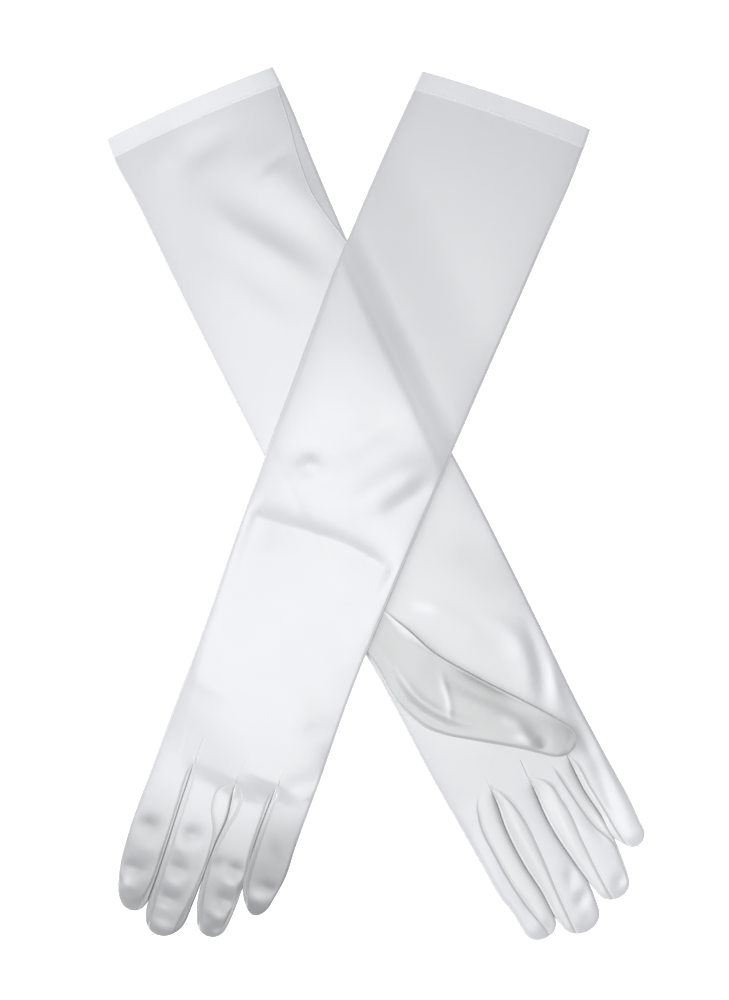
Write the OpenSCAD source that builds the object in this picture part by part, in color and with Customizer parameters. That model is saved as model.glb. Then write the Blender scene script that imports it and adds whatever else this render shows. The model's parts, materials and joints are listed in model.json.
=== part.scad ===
// A pair of long satin opera gloves laid flat and crossed, in millimetres, +Z up.
// The right glove lies palm up on the table. The left glove lies back up across its sleeve.
// Each glove has its own frame: x runs across it towards the little finger, y runs from
// the tip of the middle finger to the cuff, and z = 0 is the table.

/* [Placing] */
// Turn of the right glove on the table, in degrees
right_turn = 25.6; // [22:0.2:28]
// Turn of the left glove on the table, in degrees
left_turn = -22.2; // [-26:0.2:-20]

/* [Sleeves] */
// Length of the right glove, middle fingertip to cuff
right_length = 568; // [540:1:600]
// Length of the left glove, middle fingertip to cuff
left_length = 560; // [540:1:600]
// Depth of the turned hem at each cuff
hem_depth = 12; // [8:1:16]

/* [Cloth] */
// Thickness of one layer of satin with its backing
wall = 0.8; // [0.6:0.1:1]
// Room between the two layers along the middle of a sleeve
loft = 5; // [4.5:0.1:6]
// Room between the two layers of a thumb
thumb_loft = 5; // [4.5:0.1:5.5]
// Air left between one glove, or one thumb, and the cloth under it
lay_gap = 0.5; // [0.4:0.1:0.8]
// Air left where a hood or a thread lies on a sloping part of the left glove
slope_gap = 1.3; // [1.2:0.1:1.6]

/* [Fingers] */
// Distance from the middle fingertip to the line where the fingers leave the hand
knuckle_y = 96; // [92:1:98]
// Half of the gap between a finger and the hand
knuckle_gap = 0.5; // [0.4:0.1:0.8]
// Length of the rounded end of a finger
tip_round = 14; // [11:1:16]

/* [Thumbs] */
// Turn of a thumb from the line of its glove, in degrees
thumb_turn = 37.3; // [35:0.5:39]
// Distance from the thumb's tip to the line where it lifts
thumb_root_y = 122; // [118:1:124]
// Length of the cloth hood behind that line, sewn to the palm
hood_length = 14; // [10:1:15]

/* [Hidden] */

// Where each middle fingertip lies on the table
right_tip = [130.1, -265.9];
left_tip = [-130.3, -268.3];

// Half widths of each glove, as [y, index-finger edge, little-finger edge]
right_edges = [[90, -42, 57.5], [150, -45.6, 56], [210, -48.4, 55.2], [300, -51.4, 52.4],
               [440, -54.6, 51.6], [520, -55.8, 54.2], [600, -55.5, 57.5]];
left_edges = [[90, -47, 52.2], [150, -49, 50.6], [210, -51.5, 48.2], [300, -55, 48.6],
              [440, -58.4, 52.4], [520, -57, 54.2], [600, -54, 54]];

// Each finger as [edges where it leaves the hand, edges where its tip starts to round, end of the tip]
right_fingers = [[-42.6, -14.9, -38, -16.2, 8], [-14.3, 9.7, -13.2, 11.5, 0],
                 [10.3, 36.5, 15.5, 38.2, 11], [37.1, 57.4, 42, 60, 34]];
left_fingers = [[-47.4, -23.2, -41.5, -19, 8], [-22.6, 5.6, -15.5, 8, 0],
                [6.2, 28.6, 13.5, 34, 11], [29.2, 52.4, 36.6, 55.4, 34]];

// The thumb's tip in the glove's frame, and its edges in its own frame, measured from that tip
thumb_tip = [42, 106];
thumb_edges = [[14, -9.4, 13], [45, -18, 14.5], [76, -27, 15], [96, -26, 16], [122, -13, 18], [140, -4, 21]];

near = 0;              // the side of a finger towards the index-finger edge
far = 1;               // the side towards the little-finger edge
satin = [0.93, 0.93, 0.95];
lining = [0.86, 0.86, 0.88];
thread = [0.98, 0.98, 0.99];
seam_width = 1.2;      // what a side seam stands out from the edge
thread_width = 0.8;
thread_height = 0.4;
thread_inset = 1.5;     // from the hem's inner end to its thread
thumb_hole_half = [11, 4.5];
thumb_hole_x = 4;      // middle of the hole, across the thumb
crown_power = 5;       // how squarely a layer arches across its width
bend_y = 12;           // stretch over which an edge is eased
hump_flat = 38;        // half width of the flat top where one sleeve crosses the other
hump_end = 86;         // distance from the crossing's middle line where the upper sleeve lands
thumb_rise = 22;       // stretch over which a palm comes down beside the thumb under it
across = 16;           // strips across a sleeve
along = 44;            // strips along a sleeve
hem_points = 48;       // points round a hem
arc_steps = 8;         // steps round half a fingertip
tack_size = [1.4, 5];
tack_back = 2;         // from the knuckle line to a bar tack

function spin(p, a) = [p.x * cos(a) - p.y * sin(a), p.x * sin(a) + p.y * cos(a)];
function mix(a, b, t) = a + (b - a) * t;
function ease(t) = let(c = max(0, min(1, t))) c * c * (3 - 2 * c);
function backwards(list) = [for (i = [len(list) - 1:-1:0]) list[i]];

// One column of a table of edges at y, eased at its stations
function column(table, k) = [for (row = table) [row[0], row[k]]];
function edge(table, k, y) = let(c = column(table, k))
    (lookup(y - bend_y, c) + 2 * lookup(y, c) + lookup(y + bend_y, c)) / 4;

// Where a point lies between the edges, from -1 to 1
function share(table, p) = let(a = edge(table, 1, p.y), b = edge(table, 2, p.y)) (2 * p.x - a - b) / (b - a);
function crown(s) = max(0, 1 - pow(abs(s), crown_power));

// Top of the right glove's palm layer
function right_top(p) = 2 * wall + loft * crown(share(right_edges, p));

// A point of the left glove in the right glove's frame, and the height that the crossing lifts it
function in_right(p) = spin(spin(p, left_turn) + left_tip - right_tip, -right_turn);
function crossing_lift(p) = (2 * wall + loft + lay_gap) *
    ease((hump_end - abs(in_right(p).x)) / (hump_end - hump_flat));

// A point of a glove in its thumb's frame and back, and the height that the thumb under it lifts it
function in_thumb(p) = spin(p - thumb_tip, -thumb_turn);
function from_thumb(p) = thumb_tip + spin(p, thumb_turn);
function thumb_half(y) = y < tip_round ? sqrt(1 - pow((tip_round - y) / tip_round, 2)) : 1;
function thumb_x(y, u) = let(a = lookup(y, column(thumb_edges, 1)), b = lookup(y, column(thumb_edges, 2)))
    (a + b) / 2 + (u - 0.5) * (b - a) * thumb_half(y);
function beside_thumb(q) = norm([
    max(lookup(q.y, column(thumb_edges, 1)) - q.x, q.x - lookup(q.y, column(thumb_edges, 2)), 0),
    max(-q.y, q.y - thumb_root_y - hood_length, 0)
]);
function thumb_lift(p) = (2 * wall + thumb_loft + lay_gap) * ease(1 - beside_thumb(in_thumb(p)) / thumb_rise);

// Underside and top of the left glove
function left_under(p) = max(crossing_lift(p), thumb_lift(p));
function left_top(p) = left_under(p) + 2 * wall + loft * crown(share(left_edges, p));

// Two triangles of a four-cornered face
function halves(q) = [[q[0], q[1], q[2]], [q[0], q[2], q[3]]];

// A closed sheet: under(u, v) is its underside for u and v from 0 to 1
module skin(under, nu, nv, thick) {
    low = [for (j = [0:nv]) for (i = [0:nu]) under(i / nu, j / nv)];
    n = len(low);
    w = nu + 1;
    tops = [for (j = [0:nv - 1]) for (i = [0:nu - 1]) let(a = n + j * w + i) [a, a + w, a + w + 1, a + 1]];
    bottoms = [for (j = [0:nv - 1]) for (i = [0:nu - 1]) let(a = j * w + i) [a + 1, a + w + 1, a + w, a]];
    fronts = [for (i = [0:nu - 1]) [i, i + n, i + 1 + n, i + 1]];
    backs = [for (i = [0:nu - 1]) let(a = nv * w + i) [a + 1, a + 1 + n, a + n, a]];
    lefts = [for (j = [0:nv - 1]) let(a = j * w) [a + w, a + w + n, a + n, a]];
    rights = [for (j = [0:nv - 1]) let(a = j * w + nu) [a, a + n, a + w + n, a + w]];
    polyhedron(
        points = concat(low, [for (p = low) p + [0, 0, thick]]),
        faces = [for (q = concat(tops, bottoms, fronts, backs, lefts, rights)) each halves(q)]
    );
}

// A sleeve layer between y0 and y1: height(p, s) is its underside
module layer(table, y0, y1, height, nv) {
    skin(function(u, v) let(
            y = mix(y0, y1, v),
            p = [mix(edge(table, 1, y), edge(table, 2, y), u), y]
        ) [p.x, p.y, height(p, 2 * u - 1)], across, nv, wall);
}

// Opening in a palm through which the thumb's hood is reached
module thumb_hole(height) {
    middle = [thumb_hole_x, thumb_root_y + hood_length / 2];
    translate([0, 0, -1])
        linear_extrude(height + 2)
            polygon([for (a = [0:15:345])
                from_thumb(middle + [thumb_hole_half.x * cos(a), thumb_hole_half.y * sin(a)])]);
}

// The turned band at a cuff, a flat ring with a crowned upper side
module hem(table, length, under) {
    function loop_point(k, y, inset) = let(
            a = 360 * k / hem_points,
            left = edge(table, 1, y) + 2 * inset,
            right = edge(table, 2, y) - 2 * inset,
            s = cos(a),
            side = wall + inset / 4,
            rise = sin(a) > 0.01 ? 2 * wall - inset + loft * crown(s) : sin(a) < -0.01 ? inset : side
        ) [(left + right) / 2 + s * (right - left) / 2, y, under([0, y]) + rise];
    ends = [length - hem_depth + 0.05, length];
    n = hem_points;
    points = [for (inset = [0, wall]) for (y = ends) for (k = [0:n - 1]) loop_point(k, y, inset)];
    outer = [for (k = [0:n - 1]) let(m = (k + 1) % n) [k, m, n + m, n + k]];
    inner = [for (k = [0:n - 1]) let(m = (k + 1) % n) [2 * n + m, 2 * n + k, 3 * n + k, 3 * n + m]];
    front = [for (k = [0:n - 1]) let(m = (k + 1) % n) [m, k, 2 * n + k, 2 * n + m]];
    back = [for (k = [0:n - 1]) let(m = (k + 1) % n) [n + k, n + m, 3 * n + m, 3 * n + k]];
    polyhedron(points = points, faces = [for (q = concat(outer, inner, front, back)) each halves(q)]);
}

// The thread of the hem, lying on the band's upper side
module hem_thread(table, length, top) {
    skin(function(u, v) let(
            y = length - hem_depth + thread_inset + thread_width * v,
            p = [mix(edge(table, 1, y), edge(table, 2, y), (1 - cos(180 * u)) / 2), y]
        ) [p.x, p.y, top(p)], hem_points / 2, 1, thread_height);
}

// The ridge of the long seam that closes a sleeve, just outside its little-finger edge
module seam_ridge(table, length, under) {
    skin(function(u, v) let(
            y = mix(knuckle_y + knuckle_gap, length - hem_depth, v),
            x = edge(table, 2, y)
        ) [x + seam_width * u, y, under([x, y])], 1, along, 2 * wall);
}

// One side of a finger, from the hand to the middle of the tip, drawn in by inset
function side_path(f, side, inset) = let(
        middle = (f[2] + f[3]) / 2,
        r = (f[3] - f[2]) / 2 - inset,
        sign = side == near ? -1 : 1,
        root = side == near ? f[0] + inset : f[1] - inset
    ) [[root, knuckle_y - knuckle_gap],
       for (i = [0:arc_steps]) let(a = 90 * i / arc_steps)
           [middle + sign * r * cos(a), f[4] + tip_round - (tip_round - inset) * sin(a)]];

module finger_face(f) {
    far_side = side_path(f, far, 0);
    linear_extrude(wall)
        polygon(concat(side_path(f, near, 0), [for (i = [len(far_side) - 2:-1:0]) far_side[i]]));
}

module finger_wall(f, side) {
    translate([0, 0, wall])
        linear_extrude(loft)
            polygon(concat(side_path(f, side, 0), backwards(side_path(f, side, wall))));
}

// The upper layer of a finger. At the fold or the side seam its cloth also makes the wall
module finger_top(f, folded_side) {
    translate([0, 0, wall + loft])
        finger_face(f);
    if (folded_side == near || folded_side == far) finger_wall(f, folded_side);
}

// A thumb layer from its tip to the line where it lifts: height(p, s) is its underside
module thumb_layer(height) {
    skin(function(u, v) let(
            y = mix(0.6, thumb_root_y - knuckle_gap, pow(v, 1.3)),
            p = from_thumb([thumb_x(y, u), y])
        ) [p.x, p.y, height(p, 2 * u - 1)], 10, 20, wall);
}

// The hood that joins a thumb to its palm: height(p, s, v) is its underside
module hood(height) {
    skin(function(u, v) let(
            y = thumb_root_y + knuckle_gap + hood_length * v,
            p = from_thumb([thumb_x(y, u), y])
        ) [p.x, p.y, height(p, 2 * u - 1, v)], 10, 6, wall);
}

// The stitched line behind a hood
module thumb_thread(height) {
    skin(function(u, v) let(
            y = thumb_root_y + knuckle_gap + hood_length + 0.3 + thread_width * v,
            p = from_thumb([thumb_x(y, u), y])
        ) [p.x, p.y, height(p)], 8, 1, thread_height);
}

// Three short tacks where the fingers part
module tacks(fingers, top) {
    for (i = [0:2]) {
        middle = (fingers[i][1] + fingers[i + 1][0]) / 2;
        skin(function(u, v) let(
                p = [middle + tack_size.x * (u - 0.5), knuckle_y + tack_back + tack_size.y * v]
            ) [p.x, p.y, top(p)], 1, 2, thread_height);
    }
}

module place_right() { translate(right_tip) rotate(right_turn) children(); }
module place_left() { translate(left_tip) rotate(left_turn) children(); }

// Right glove, palm up

module right_palm() {
    color(satin) place_right()
        difference() {
            layer(right_edges, knuckle_y + knuckle_gap, right_length - hem_depth,
                  function(p, s) wall + loft * crown(s), along);
            thumb_hole(2 * wall + loft);
        }
}

module right_back() {
    ys = [for (j = [0:along]) mix(knuckle_y + knuckle_gap, right_length - hem_depth, j / along)];
    color(satin) place_right()
        linear_extrude(wall)
            polygon(concat([for (y = ys) [edge(right_edges, 1, y), y]],
                           [for (y = backwards(ys)) [edge(right_edges, 2, y), y]]));
}

module right_cuff_hem() { color(satin) place_right() hem(right_edges, right_length, function(p) 0); }

module right_hem_stitching() {
    color(thread) place_right() hem_thread(right_edges, right_length, function(p) right_top(p));
}

module right_side_seam() { color(thread) place_right() seam_ridge(right_edges, right_length, function(p) 0); }

module right_thumb_hood() {
    color(satin) place_right()
        hood(function(p, s, v) right_top(p) + (lay_gap + wall + thumb_loft) * crown(s) * (1 - ease(v)));
}

module right_thumb_seam() { color(thread) place_right() thumb_thread(function(p) right_top(p)); }

module right_bar_tacks() { color(thread) place_right() tacks(right_fingers, function(p) right_top(p)); }

module right_thumb_outer() {
    color(satin) place_right()
        thumb_layer(function(p, s) right_top(p) + lay_gap + wall + thumb_loft * crown(s));
}

module right_thumb_inner() { color(satin) place_right() thumb_layer(function(p, s) right_top(p) + lay_gap); }

module right_upper(i, folded_side) { color(satin) place_right() finger_top(right_fingers[i], folded_side); }
module right_lower(i) { color(satin) place_right() finger_face(right_fingers[i]); }
module right_strip(i, side) { color(lining) place_right() finger_wall(right_fingers[i], side); }

// Left glove, back up

module left_palm() {
    color(satin) place_left()
        difference() {
            layer(left_edges, knuckle_y + knuckle_gap, left_length - hem_depth,
                  function(p, s) left_under(p), along);
            thumb_hole(4 * wall + loft + thumb_loft);
        }
}

module left_back() {
    color(satin) place_left()
        layer(left_edges, knuckle_y + knuckle_gap, left_length - hem_depth,
              function(p, s) left_under(p) + wall + loft * crown(s), along);
}

module left_cuff_hem() { color(satin) place_left() hem(left_edges, left_length, function(p) 0); }

module left_hem_stitching() {
    color(thread) place_left() hem_thread(left_edges, left_length, function(p) left_top(p));
}

module left_side_seam() {
    color(thread) place_left() seam_ridge(left_edges, left_length, function(p) left_under(p));
}

module left_thumb_hood() {
    color(satin) place_left()
        hood(function(p, s, v) mix(left_under(p) - wall - slope_gap, 0, crown(s) * (1 - ease(v))));
}

module left_thumb_seam() {
    color(thread) place_left() thumb_thread(function(p) left_under(p) - thread_height - slope_gap);
}

module left_bar_tacks() { color(thread) place_left() tacks(left_fingers, function(p) left_top(p) + slope_gap); }

module left_thumb_outer() { color(satin) place_left() thumb_layer(function(p, s) 0); }

module left_thumb_inner() {
    color(satin) place_left() thumb_layer(function(p, s) wall + thumb_loft * crown(s));
}

module left_upper(i, folded_side) { color(satin) place_left() finger_top(left_fingers[i], folded_side); }
module left_lower(i) { color(satin) place_left() finger_face(left_fingers[i]); }
module left_strip(i, side) { color(lining) place_left() finger_wall(left_fingers[i], side); }

right_palm();
right_back();
right_cuff_hem();
right_hem_stitching();
right_side_seam();
right_thumb_hood();
right_thumb_seam();
right_bar_tacks();
right_thumb_outer();
right_thumb_inner();
right_upper(0, near);  // right_index_palm
right_lower(0);  // right_index_back
right_strip(0, far);  // right_index_fourchette
right_upper(1, undef);  // right_middle_palm
right_lower(1);  // right_middle_back
right_strip(1, near);  // right_middle_fourchette_near
right_strip(1, far);  // right_middle_fourchette_far
right_upper(2, undef);  // right_ring_palm
right_lower(2);  // right_ring_back
right_strip(2, near);  // right_ring_fourchette_near
right_strip(2, far);  // right_ring_fourchette_far
right_upper(3, far);  // right_little_palm
right_lower(3);  // right_little_back
right_strip(3, near);  // right_little_fourchette
left_palm();
left_back();
left_cuff_hem();
left_hem_stitching();
left_side_seam();
left_thumb_hood();
left_thumb_seam();
left_bar_tacks();
left_thumb_outer();
left_thumb_inner();
left_lower(0);  // left_index_palm
left_upper(0, near);  // left_index_back
left_strip(0, far);  // left_index_fourchette
left_lower(1);  // left_middle_palm
left_upper(1, undef);  // left_middle_back
left_strip(1, near);  // left_middle_fourchette_near
left_strip(1, far);  // left_middle_fourchette_far
left_lower(2);  // left_ring_palm
left_upper(2, undef);  // left_ring_back
left_strip(2, near);  // left_ring_fourchette_near
left_strip(2, far);  // left_ring_fourchette_far
left_lower(3);  // left_little_palm
left_upper(3, far);  // left_little_back
left_strip(3, near);  // left_little_fourchette
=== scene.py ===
# %% [markdown]
# # A pair of satin opera gloves
# Two long gloves lie crossed on a table. The right one lies palm up, its thumb folded over the palm. The left
# one lies back up, across the other's sleeve. Each glove is a handful of cloth pieces sewn together: a palm
# and a back, finger strips, a thumb, a hem, threads. Every one is a thin closed shell here, worked out with
# numpy as a surface over two parameters, because cloth that has been smoothed flat is mostly a height over a
# table, and a formula gives clean rows of faces and exact normals.
# %% Load the frame
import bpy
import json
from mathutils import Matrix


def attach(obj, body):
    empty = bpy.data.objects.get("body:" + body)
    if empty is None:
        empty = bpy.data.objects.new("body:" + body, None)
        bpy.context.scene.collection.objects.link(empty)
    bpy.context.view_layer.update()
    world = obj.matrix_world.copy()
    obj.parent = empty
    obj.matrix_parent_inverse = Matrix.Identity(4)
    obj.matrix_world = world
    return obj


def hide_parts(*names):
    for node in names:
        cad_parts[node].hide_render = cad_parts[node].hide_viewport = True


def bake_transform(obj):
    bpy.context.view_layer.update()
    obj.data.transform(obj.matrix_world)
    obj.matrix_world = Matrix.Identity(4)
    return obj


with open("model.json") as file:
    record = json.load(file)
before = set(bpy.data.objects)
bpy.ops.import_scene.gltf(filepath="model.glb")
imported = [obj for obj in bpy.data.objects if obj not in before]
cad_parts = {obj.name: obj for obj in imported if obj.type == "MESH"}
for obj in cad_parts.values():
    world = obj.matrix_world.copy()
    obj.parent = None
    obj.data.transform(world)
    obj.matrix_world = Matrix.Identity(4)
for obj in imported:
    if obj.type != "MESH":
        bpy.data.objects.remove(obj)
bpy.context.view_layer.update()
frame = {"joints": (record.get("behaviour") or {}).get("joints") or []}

import json
import math
import bpy
import numpy as np
from mathutils import Vector

# %% [markdown]
# ## Where each glove lies
# A glove is drawn in its own frame, in millimetres: x runs across it towards the little finger, y from the
# tip of the middle finger to the cuff, z up from the table. A finger's hinge runs along x and sits on the
# knuckle line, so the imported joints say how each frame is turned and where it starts.
# %% Glove frames
MM = 0.001
KNUCKLE = 96.0                                  # fingertip to knuckle line
MIDDLE_HINGE = {"right": -2.3, "left": -8.5}    # x of the middle finger's hinge
THUMB_TIP = np.array([42.0, 106.0])             # where a thumb's tip lies in its glove's frame
THUMB_TURN = math.radians(37.3)                 # and how the thumb is turned there
JOINTS = {j["name"]: j for j in frame["joints"]}


def glove_frame(side):
    """Two unit vectors along the glove's x and y, and the fingertip that the frame starts from."""
    hinge = JOINTS[f"{side}_middle_bend"]
    ex = -np.array(hinge["axis"][:2])
    ey = np.array([-ex[1], ex[0]])
    start = np.array(hinge["pos_m"][:2]) / MM - MIDDLE_HINGE[side] * ex - KNUCKLE * ey
    return ex, ey, start


FRAMES = {side: glove_frame(side) for side in ("right", "left")}


def on_table(side, points):
    """Glove points to table points, still in millimetres."""
    ex, ey, start = FRAMES[side]
    flat = points[..., :1] * ex + points[..., 1:2] * ey + start
    return np.concatenate([flat, points[..., 2:]], -1)


def in_glove(side, flat):
    """Table points (x, y) to glove points."""
    ex, ey, start = FRAMES[side]
    return np.stack([(flat - start) @ ex, (flat - start) @ ey], -1)


def across_gloves(flat, a, b):
    """Points (x, y) of glove a, in glove b's frame."""
    return in_glove(b, on_table(a, np.concatenate([flat, np.zeros_like(flat[..., :1])], -1))[..., :2])


def in_thumb(flat):
    """Glove points (x, y) in the thumb's own frame: x across it, y from its tip to its root."""
    c, s = math.cos(THUMB_TURN), math.sin(THUMB_TURN)
    d = flat - THUMB_TIP
    return np.stack([d[..., 0] * c + d[..., 1] * s, -d[..., 0] * s + d[..., 1] * c], -1)


def from_thumb(flat):
    """Thumb points (x, y) in the glove's frame."""
    c, s = math.cos(THUMB_TURN), math.sin(THUMB_TURN)
    x, y = flat[..., 0], flat[..., 1]
    return np.stack([x * c - y * s, x * s + y * c], -1) + THUMB_TIP


print("glove frames start at", {s: np.round(f[2], 1).tolist() for s, f in FRAMES.items()})

# %% [markdown]
# ## Camera, light and floor
# The pair is seen from straight above through a long lens. Satin shows its shape by what it mirrors. One
# large soft box hangs overhead, so cloth that lies flat mirrors it and is bright, and what slopes turns away
# and falls into grey. A second box stands low at the left and lights the slopes on that side. A dim, even sky
# keeps the greys pale, and the floor glows a little, so that it stays plain white.
# %% Camera
CENTRE = (-0.0068, 0.0019)
HEIGHT = 1.722
camera = bpy.data.objects.new("camera", bpy.data.cameras.new("camera"))
bpy.context.scene.collection.objects.link(camera)
camera.data.lens, camera.data.sensor_width = 100, 36
camera.location = (*CENTRE, HEIGHT)
bpy.context.scene.camera = camera

# %% Lights
world = bpy.data.worlds.new("studio")
bpy.context.scene.world = world
world.use_nodes = True
world.node_tree.nodes["Background"].inputs["Color"].default_value = (0.97, 0.985, 1.0, 1)
world.node_tree.nodes["Background"].inputs["Strength"].default_value = 0.32


def soft_box(name, place, aim, size, radiance, colour):
    """A square area light at place, aimed at a point, whose power gives its face the stated brightness."""
    light = bpy.data.lights.new(name, "AREA")
    light.shape, light.size, light.color = "SQUARE", size, colour
    light.energy = radiance * math.pi * size**2
    lamp = bpy.data.objects.new(name, light)
    lamp.location = place
    lamp.rotation_mode = "QUATERNION"
    lamp.rotation_quaternion = (lamp.location - Vector(aim)).to_track_quat("Z", "Y")
    bpy.context.scene.collection.objects.link(lamp)
    return lamp


soft_box("overhead", (-0.04, -0.08, 1.76), (-0.02, -0.04, 0), 1.02, 4.3, (1.0, 1.0, 1.0))
soft_box("side", (-1.62, -0.76, 0.9), (0, 0, 0), 1.4, 4.0, (0.985, 0.99, 1.0))
bpy.context.scene.view_settings.view_transform = "Standard"

# %% Floor
FLOOR_HALF = 30.0
floor = bpy.data.objects.new("floor", bpy.data.meshes.new("floor"))
floor.data.from_pydata([(-FLOOR_HALF, -FLOOR_HALF, 0), (FLOOR_HALF, -FLOOR_HALF, 0),
                        (FLOOR_HALF, FLOOR_HALF, 0), (-FLOOR_HALF, FLOOR_HALF, 0)], [], [(0, 1, 2, 3)])
bpy.context.scene.collection.objects.link(floor)
paper = bpy.data.materials.new("paper_floor")
paper.use_nodes = True
PAPER = {"Base Color": (1, 1, 1, 1), "Roughness": 0.9, "Specular IOR Level": 0.1,
         "Emission Color": (1, 1, 1, 1), "Emission Strength": 0.75}
for name, value in PAPER.items():
    paper.node_tree.nodes["Principled BSDF"].inputs[name].default_value = value
floor.data.materials.append(paper)

# %% [markdown]
# ## Satin
# Satin is a weave whose warp threads float over several weft threads, so its face is smooth threads side by
# side. It is pale, with a broad gloss, and up close it shows fine lines along the glove. Here the colour is a
# pale grey with a faint cloudy variation, since the gloss adds the rest of the white. The gloss comes from a
# low roughness, a strong reflection and a little sheen, and two bumps stand for the thread lines and for the
# slight unevenness of stretch cloth. A colour attribute of painted light and shade dims or brightens it from
# place to place.
# %% Satin material
def raised(tree, texture, strength, distance):
    """A bump node that reads a texture as a height."""
    bump = tree.nodes.new("ShaderNodeBump")
    bump.inputs["Strength"].default_value = strength
    bump.inputs["Distance"].default_value = distance
    tree.links.new(texture.outputs["Fac"], bump.inputs["Height"])
    return bump


def satin(name, colour, roughness, thread_scale, grey_blotch):
    """A principled cloth: noise clouds in the colour, waves along the piece's own UV for the threads."""
    material = bpy.data.materials.new(name)
    material.use_nodes = True
    tree = material.node_tree
    nodes, links = tree.nodes, tree.links
    shader = nodes["Principled BSDF"]
    shader.inputs["Roughness"].default_value = roughness
    shader.inputs["IOR"].default_value = 1.75
    shader.inputs["Sheen Weight"].default_value = 0.08
    shader.inputs["Sheen Roughness"].default_value = 0.4
    coordinates = nodes.new("ShaderNodeTexCoord")

    clouds = nodes.new("ShaderNodeTexNoise")
    clouds.inputs["Scale"].default_value = 22
    clouds.inputs["Detail"].default_value = 3
    links.new(coordinates.outputs["Object"], clouds.inputs["Vector"])
    ramp = nodes.new("ShaderNodeValToRGB")
    ramp.color_ramp.elements[0].position, ramp.color_ramp.elements[1].position = 0.3, 0.7
    ramp.color_ramp.elements[0].color = (*[c * (1 - grey_blotch) for c in colour], 1)
    ramp.color_ramp.elements[1].color = (*colour, 1)
    links.new(clouds.outputs["Fac"], ramp.inputs["Fac"])
    # painted light and shade from the piece's colour attribute, multiplied into the cloth's colour
    painted_light = nodes.new("ShaderNodeVertexColor")
    painted_light.layer_name = "painted_light"
    turned = nodes.new("ShaderNodeMix")
    turned.data_type, turned.blend_type = "RGBA", "MULTIPLY"
    turned.inputs["Factor"].default_value = 1
    links.new(ramp.outputs["Color"], turned.inputs["A"])
    links.new(painted_light.outputs["Color"], turned.inputs["B"])
    links.new(turned.outputs["Result"], shader.inputs["Base Color"])

    threads = nodes.new("ShaderNodeTexWave")
    threads.bands_direction = "X"
    threads.inputs["Scale"].default_value = thread_scale
    threads.inputs["Distortion"].default_value = 1.5
    threads.inputs["Detail"].default_value = 2
    links.new(coordinates.outputs["UV"], threads.inputs["Vector"])
    fine = raised(tree, threads, 0.05, 0.0001)

    pebble = nodes.new("ShaderNodeTexNoise")
    pebble.inputs["Scale"].default_value = 900
    pebble.inputs["Detail"].default_value = 4
    links.new(coordinates.outputs["Object"], pebble.inputs["Vector"])
    grain = raised(tree, pebble, 0.12, 0.00015)
    links.new(fine.outputs["Normal"], grain.inputs["Normal"])
    links.new(grain.outputs["Normal"], shader.inputs["Normal"])
    return material


SATIN = satin("white_satin", (0.655, 0.655, 0.674), 0.27, 400, 0.02)
STRIP_SATIN = satin("fourchette_satin", (0.66, 0.665, 0.668), 0.26, 400, 0.02)
THREAD = satin("white_thread", (0.84, 0.84, 0.84), 0.6, 900, 0.03)
FINISHES = {"satin": SATIN, "fourchette_satin": STRIP_SATIN, "thread": THREAD}

# %% [markdown]
# ## Lines and folds
# Seams, edges and folds are all smooth lines through a few given points. A fold is a ridge or a hollow
# that runs along such a line: highest on it, fading to either side like a bell, and faded at its ends. It
# can lean, so that one flank is steeper, as where slack cloth has tipped over. A crease is sharp instead, as
# where cloth comes down from a height and meets the table.
# %% Smooth lines


def cubic_piece(a, b, da, db, t):
    """A cubic from a to b while t goes from 0 to 1, with the slopes da and db at its ends."""
    return ((2 * t**3 - 3 * t**2 + 1) * a + (t**3 - 2 * t**2 + t) * da
            + (3 * t**2 - 2 * t**3) * b + (t**3 - t**2) * db)


def curve_through(points, y):
    """x(y) through points (x, y): cubic pieces whose slope at each point is that between its neighbours."""
    p = np.array(sorted(points, key=lambda q: q[1]), float)
    xs, ys = p[:, 0], p[:, 1]
    slope = np.gradient(xs, ys)
    i = np.clip(np.searchsorted(ys, y) - 1, 0, len(ys) - 2)
    h = ys[i + 1] - ys[i]
    t = np.clip((y - ys[i]) / h, 0, 1)
    return cubic_piece(xs[i], xs[i + 1], h * slope[i], h * slope[i + 1], t)


def smooth_path(points, steps=10):
    """A line through points with the same cubic pieces, stepped evenly between each two of them."""
    p = np.array(points, float)
    if len(p) < 3:
        return p[0] + (p[-1] - p[0]) * np.linspace(0, 1, steps + 1)[:, None]
    slope = np.gradient(p, axis=0)
    t = np.linspace(0, 1, steps, endpoint=False)[None, :, None]
    line = cubic_piece(*(q[:, None] for q in (p[:-1], p[1:], slope[:-1], slope[1:])), t)
    return np.concatenate([line.reshape(-1, p.shape[1]), p[-1:]])


def closed_edges(lines, tip, rounded, y):
    """Two smooth lines at y, closed in a blunt half ellipse over the last stretch, rounded, to the tip."""
    near, far = (curve_through(line, y) for line in lines)
    t = np.clip((tip + rounded - y) / rounded, 0, 1)
    narrow = (1 - t**2.3) ** (1 / 2.2)
    middle = (near + far) / 2
    return middle + (near - middle) * narrow, middle + (far - middle) * narrow


def ease(t):
    """0 below 0, 1 above 1, and a smooth S between."""
    c = np.clip(t, 0, 1)
    return c * c * (3 - 2 * c)


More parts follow.
